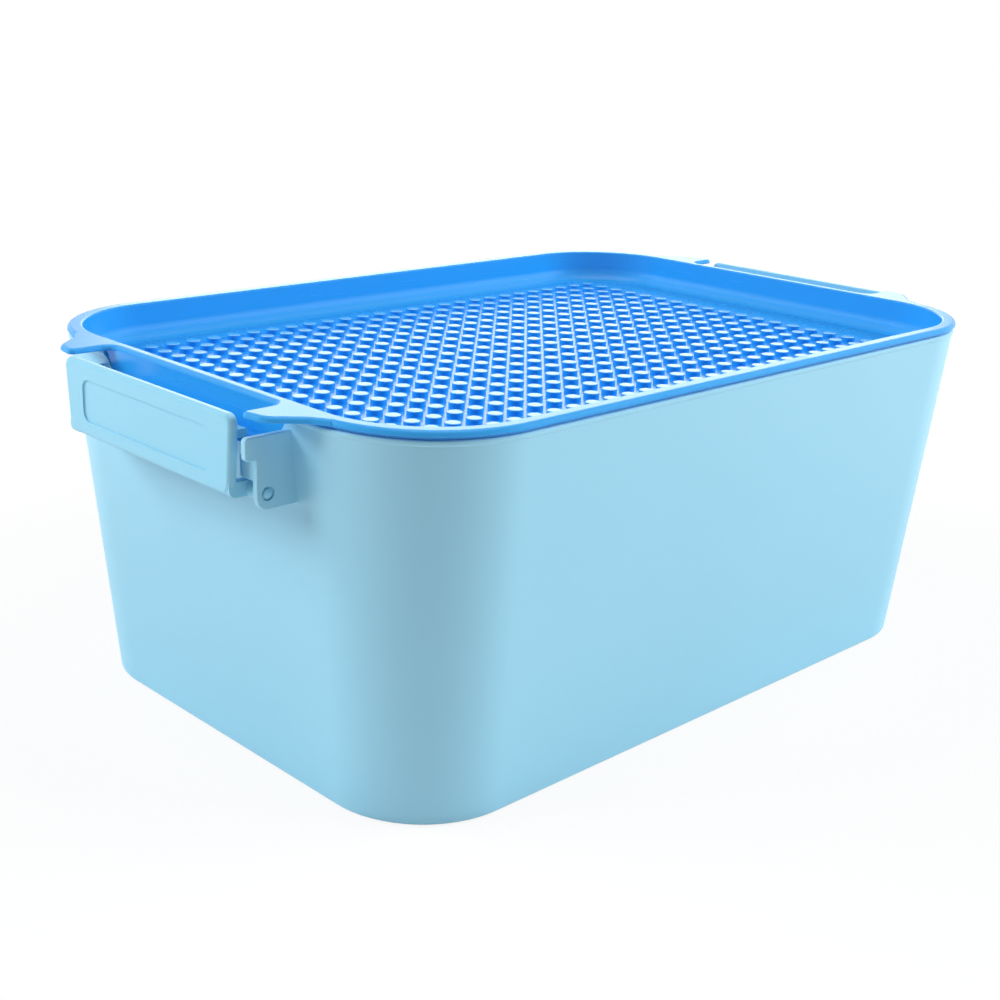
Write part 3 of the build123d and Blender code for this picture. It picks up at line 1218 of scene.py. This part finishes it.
@dataclass
class Latch:
    """A latch that is also a carrying handle: plate, snap rib, gussets and two hinge arms."""

    hinge: Hinge = field(default_factory=Hinge)
    half_base: float = 40.3
    taper: float = 1.7
    bottom: float = 92.9
    height: float = 22.0
    inner: float = 148.6
    outer: float = 151.2
    corner: float = 3.1
    front_round: float = 1.4
    back_round: float = 0.5
    panel_half_width: float = 32.0
    panel_height: float = 12.4
    panel_rise: float = 4.6
    panel_corner: float = 3.0
    panel_depth: float = 0.5
    panel_foot_shares: tuple[float, ...] = (1.0, 0.9, 0.6, 0.0, -2.0)
    panel_foot_draws: tuple[float, ...] = (0.32, 0.12, 0.03, 0.0, 0.0)
    taper_from: float = 34.0
    rib_root: float = 1.0
    rib_x: float = 139.8
    rib_bottom: float = 105.5
    rib_top: float = 107.9
    rib_half: float = 33.0
    rib_slope: float = 0.9
    rib_slope_round: float = 0.15
    rib_tip_round: float = 0.5
    gusset_pitch: float = 24.0
    gusset_thickness: float = 1.6
    gusset_x: float = 141.8
    gusset_low: float = 98.0
    gusset_overlap: float = 0.6
    gusset_root: float = 0.8
    arm_inner: float = 37.5
    arm_outer: float = 40.3
    arm_low: float = 92.2
    arm_sink: float = 0.3
    arm_foot_round: float = 2.4
    arm_head_round: float = 0.5
    arm_corner: float = 1.4
    arm_edge_round: float = 0.4
    hub_start: float = 37.52
    hub_end: float = 44.0
    hub_radius: float = 2.55
    hub_chamfer: tuple[float, float] = (0.1, 0.3)
    hub_sides: int = 40
    bore_slack: float = 0.08
    bore_reach: tuple[float, float] = (30.0, 50.0)

    def plate(self) -> Form:
        """The plate with rounded edges and its sunk panel.

        Returns:
            The plate of the right latch.
        """
        back, front = quarter_round(self.back_round, 3), reversed(quarter_round(self.front_round, 5))
        levels = [self.plate_section(self.inner + rise, draw) for draw, rise in back]
        levels.extend(self.plate_section(self.outer - rise, draw) for draw, rise in front)
        plate = Form.stack(levels, 8)
        for vert in plate.mesh.verts:
            if abs(vert.co.x) > self.taper_from:
                share = (vert.co.y - self.bottom) / self.height
                vert.co.x += math.copysign(self.taper * share, vert.co.x)
        return plate.meet(self.panel(), Join.CUT).stand(Facing.END)

    def plate_section(self, x: float, draw: float) -> Section:
        """Level of the plate before its ends are tapered.

        Args:
            x: How far out it lies.
            draw: How far it is drawn in from the outline.

        Returns:
            The section.
        """
        half = self.height / 2
        return Section(x, self.half_base - draw, half - draw, self.corner - draw, self.bottom + half)

    def panel(self) -> Form:
        """What is sunk into the plate's face, with a rounded foot.

        Returns:
            The cutter, lying flat as the plate does.
        """
        middle = self.bottom + self.panel_rise + self.panel_height / 2
        levels = []
        for share, draw in zip(self.panel_foot_shares, self.panel_foot_draws):
            half_u, half_v = self.panel_half_width - draw, self.panel_height / 2 - draw
            level = self.outer - self.panel_depth * share
            levels.append(Section(level, half_u, half_v, self.panel_corner - draw, middle))
        return Form.stack(levels, 8)

    def rib(self) -> Form:
        """The snap rib behind the plate, with a sloping nose.

        Returns:
            The rib, rooted in the plate.
        """
        tip, low, slope, root = self.rib_x, self.rib_bottom, self.rib_slope, self.inner + self.rib_root
        outline = [
            Corner(tip, low + slope, self.rib_slope_round),
            Corner(tip + slope, low, self.rib_slope_round),
            Corner(root, low),
            Corner(root, self.rib_top),
            Corner(tip, self.rib_top, self.rib_tip_round),
        ]
        return Form.prism(outline, -self.rib_half, self.rib_half, 3).stand(Facing.SIDE)

    def gusset(self, y: float) -> Form:
        """One gusset under the rib.

        Args:
            y: Its middle along the plate.

        Returns:
            The gusset.
        """
        root, top = self.inner + self.gusset_root, self.rib_bottom + self.gusset_overlap
        outline = [
            Corner(root, top),
            Corner(self.gusset_x, top),
            Corner(self.gusset_x, self.rib_bottom),
            Corner(root, self.gusset_low),
        ]
        half = self.gusset_thickness / 2
        return Form.prism(outline, y - half, y + half).stand(Facing.SIDE)

    def arm(self) -> Form:
        """The far hinge arm, flush with the plate's end, and the hub that reaches to the ear.

        Returns:
            The arm, still without its bore.
        """
        x, high = self.hinge.pin_x, self.hinge.pin_z + self.hub_radius
        front = self.outer - self.arm_sink
        outline = [
            Corner(x, self.arm_low),
            Corner(front, self.arm_low, self.arm_foot_round),
            Corner(front, high, self.arm_head_round),
            Corner(x, high),
        ]
        arm = Form.prism(outline, self.arm_inner, self.arm_outer, 5).stand(Facing.SIDE)
        arm.round_edges(self.arm_corner, 6, lambda edge: self._is_outer(edge) and self._is_low(edge))
        arm.round_edges(self.arm_edge_round, 3, self._is_outer)
        return arm.meet(self.hub(), Join.UNION)

    def _is_outer(self, edge: bmesh.types.BMEdge) -> bool:
        """Whether an edge lies on the arm's outer side."""
        return all(vert.co.y > self.arm_outer - LEVEL_GAP for vert in edge.verts)

    def _is_low(self, edge: bmesh.types.BMEdge) -> bool:
        """Whether an edge lies along the arm's foot."""
        return all(vert.co.z < self.arm_low + LEVEL_GAP for vert in edge.verts)

    def hub(self) -> Form:
        """The far arm's round hub, with a softened end.

        Returns:
            The hub, rooted in the arm.
        """
        low, end, radius = self.hub_start, self.hub_end, self.hub_radius
        near, far = self.hub_chamfer
        profile = [
            (0, low),
            (radius, low),
            (radius, end - far),
            (radius - near, end - near),
            (radius - far, end),
            (0, end),
        ]
        return self.hinge.at_pin(Form.turned(profile, self.hub_sides))

    def bore(self) -> Form:
        """What is cut from the far arm and its hub for the pin.

        Returns:
            The cutter.
        """
        radius, (low, high) = self.hinge.pin_radius + self.bore_slack, self.bore_reach
        profile = [(0, low), (radius, low), (radius, high), (0, high)]
        return self.hinge.at_pin(Form.turned(profile, self.hinge.pin_sides))

    def form(self) -> Form:
        """The whole right latch.

        Returns:
            The latch as one closed form.
        """
        latch = self.plate().meet(self.rib(), Join.UNION)
        for place in (-1, 0, 1):
            latch.meet(self.gusset(self.gusset_pitch * place), Join.UNION)
        for sign_y in (1, -1):
            latch.meet(self.arm().mirrored(1, sign_y), Join.UNION)
            latch.meet(self.bore().mirrored(1, sign_y), Join.CUT)
        return latch

    def build(self) -> None:
        """Makes the right latch and its twin at the left end."""
        right = self.form()
        left = right.mirrored(-1, 1)
        dress(right.finish("latch_handle_right"), LATCH_PLASTIC, Slot.PALE, "right_latch", "right_latch")
        dress(left.finish("latch_handle_left"), LATCH_PLASTIC, Slot.PALE, "left_latch", "left_latch")


@dataclass(frozen=True)
class Softbox:
    """A soft area lamp that aims at a height on the box's axis, on gloss, on matt or on both."""

    name: str
    place: tuple[float, float, float]
    aim_height: float
    size: tuple[float, float]
    brightness: float
    in_gloss: bool = True
    on_matt: bool = True

    def build(self) -> None:
        """Hangs the lamp, its power worked out from the brightness of its face."""
        lamp = bpy.data.lights.new(self.name, "AREA")
        lamp.shape = "RECTANGLE"
        lamp.size, lamp.size_y = self.size
        lamp.energy = self.brightness * math.pi * lamp.size * lamp.size_y
        carrier = bpy.data.objects.new(self.name, lamp)
        bpy.context.scene.collection.objects.link(carrier)
        carrier.location = self.place
        aim = Vector((0, 0, self.aim_height)) - Vector(self.place)
        carrier.rotation_euler = aim.to_track_quat("-Z", "Y").to_euler()
        carrier.visible_camera = False
        carrier.visible_glossy, carrier.visible_diffuse = self.in_gloss, self.on_matt
        LOG.info("lamp %s: %.2f W", self.name, lamp.energy)


@dataclass
class Studio:
    """The plain studio: floor, lamps, surroundings and camera."""

    camera_place: tuple[float, float, float] = (-0.3592019, -0.3501680, 0.2157413)
    camera_turn: tuple[float, float, float] = (71.73927, -1.92917, -43.99097)
    lens: float = 54.32
    sensor: float = 36.0
    clip: tuple[float, float] = (0.01, 20.0)
    ambient: float = 0.08
    floor_half: float = 3.0
    floor_drop: float = 0.0002
    floor_white: float = 0.92
    fade_start: float = 0.18
    fade_end: float = 0.45
    fade_least: float = 0.86
    softboxes: tuple[Softbox, ...] = (
        Softbox("back_softbox", (0.96, 0.96, 0.55), 0.11, (1.05, 0.7), 1.65, on_matt=False),
        Softbox("left_softbox", (-1.07, 0.9, 0.95), 0.06, (1.2, 0.8), 7.7, in_gloss=False),
        Softbox("front_softbox", (1.12, -0.92, 0.85), 0.06, (1.2, 0.8), 8.6, in_gloss=False),
        Softbox("top_softbox", (0.0, 0.0, 1.5), 0.0, (1.2, 1.2), 1.1),
    )

    def _white_for_eyes(self, tree: bpy.types.NodeTree) -> bpy.types.NodeSocket:
        """Finds rays that show the background as it is seen or mirrored.

        Args:
            tree: The world's nodes.

        Returns:
            One for those rays, else nought.
        """
        path = tree.nodes.new("ShaderNodeLightPath")
        seen = path.outputs["Is Camera Ray"]
        for ray in ("Is Glossy Ray", "Is Transmission Ray"):
            either = tree.nodes.new("ShaderNodeMath")
            either.operation = "MAXIMUM"
            tree.links.new(seen, either.inputs[0])
            tree.links.new(path.outputs[ray], either.inputs[1])
            seen = either.outputs[0]
        return seen

    def surroundings(self) -> None:
        """White world that lights softly and is seen as plain white."""
        world = bpy.data.worlds.new("white_studio")
        world.use_nodes = True
        bpy.context.scene.world = world
        tree = world.node_tree
        background = tree.nodes["Background"]
        background.inputs["Color"].default_value = (1, 1, 1, 1)
        level = tree.nodes.new("ShaderNodeMapRange")
        level.inputs["To Min"].default_value = self.ambient
        level.inputs["To Max"].default_value = 1.0
        tree.links.new(self._white_for_eyes(tree), level.inputs["Value"])
        tree.links.new(level.outputs["Result"], background.inputs["Strength"])

    def floor(self) -> None:
        """Lays the pale floor just under the box."""
        mesh = bpy.data.meshes.new("studio_floor")
        built = bmesh.new()
        bmesh.ops.create_grid(built, x_segments=1, y_segments=1, size=self.floor_half)
        built.to_mesh(mesh)
        built.free()
        floor = bpy.data.objects.new("studio_floor", mesh)
        bpy.context.scene.collection.objects.link(floor)
        floor.location = (0, 0, -self.floor_drop)
        mesh.materials.append(self._floor_material())

    def _floor_material(self) -> bpy.types.Material:
        """The floor's finish, which keeps the box's shadow and fades into the white around it.

        Returns:
            The material.
        """
        material = bpy.data.materials.new("studio_floor_white")
        material.use_nodes = True
        tree = material.node_tree
        tree.nodes.remove(tree.nodes["Principled BSDF"])
        matt = tree.nodes.new("ShaderNodeBsdfDiffuse")
        matt.inputs["Color"].default_value = (*[self.floor_white] * 3, 1)
        glow = tree.nodes.new("ShaderNodeEmission")
        seen = tree.nodes.new("ShaderNodeLightPath")
        place = tree.nodes.new("ShaderNodeTexCoord")
        reach = tree.nodes.new("ShaderNodeVectorMath")
        reach.operation = "LENGTH"
        tree.links.new(place.outputs["Object"], reach.inputs[0])
        fade = tree.nodes.new("ShaderNodeMapRange")
        fade.inputs["From Min"].default_value = self.fade_start
        fade.inputs["From Max"].default_value = self.fade_end
        fade.inputs["To Min"].default_value = self.fade_least
        tree.links.new(reach.outputs["Value"], fade.inputs["Value"])
        share = tree.nodes.new("ShaderNodeMath")
        share.operation = "MULTIPLY"
        tree.links.new(seen.outputs["Is Camera Ray"], share.inputs[0])
        tree.links.new(fade.outputs["Result"], share.inputs[1])
        blend = tree.nodes.new("ShaderNodeMixShader")
        tree.links.new(share.outputs[0], blend.inputs["Fac"])
        tree.links.new(matt.outputs[0], blend.inputs[1])
        tree.links.new(glow.outputs[0], blend.inputs[2])
        tree.links.new(blend.outputs[0], tree.nodes["Material Output"].inputs["Surface"])
        return material

    def camera(self) -> None:
        """The camera at the viewing angle of the reference."""
        data = bpy.data.cameras.new("studio_camera")
        data.lens, data.sensor_width = self.lens, self.sensor
        data.clip_start, data.clip_end = self.clip
        camera = bpy.data.objects.new("studio_camera", data)
        bpy.context.scene.collection.objects.link(camera)
        camera.location = self.camera_place
        camera.rotation_euler = tuple(math.radians(angle) for angle in self.camera_turn)
        bpy.context.scene.camera = camera

    def build(self) -> None:
        """Sets the whole studio up."""
        bpy.context.scene.view_settings.view_transform = "Standard"
        self.surroundings()
        self.floor()
        for softbox in self.softboxes:
            softbox.build()
        self.camera()


def main() -> None:
    """Builds the box piece by piece, then the studio."""
    logging.basicConfig(level=logging.INFO, format="%(name)s %(message)s")
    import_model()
    Tub().build()
    Lid().build()
    StudField().build()
    Latch().build()
    Hinge().build()
    Studio().build()
    bpy.context.view_layer.update()
    LOG.info("the box is complete")


if __name__ == "__main__":
    main()
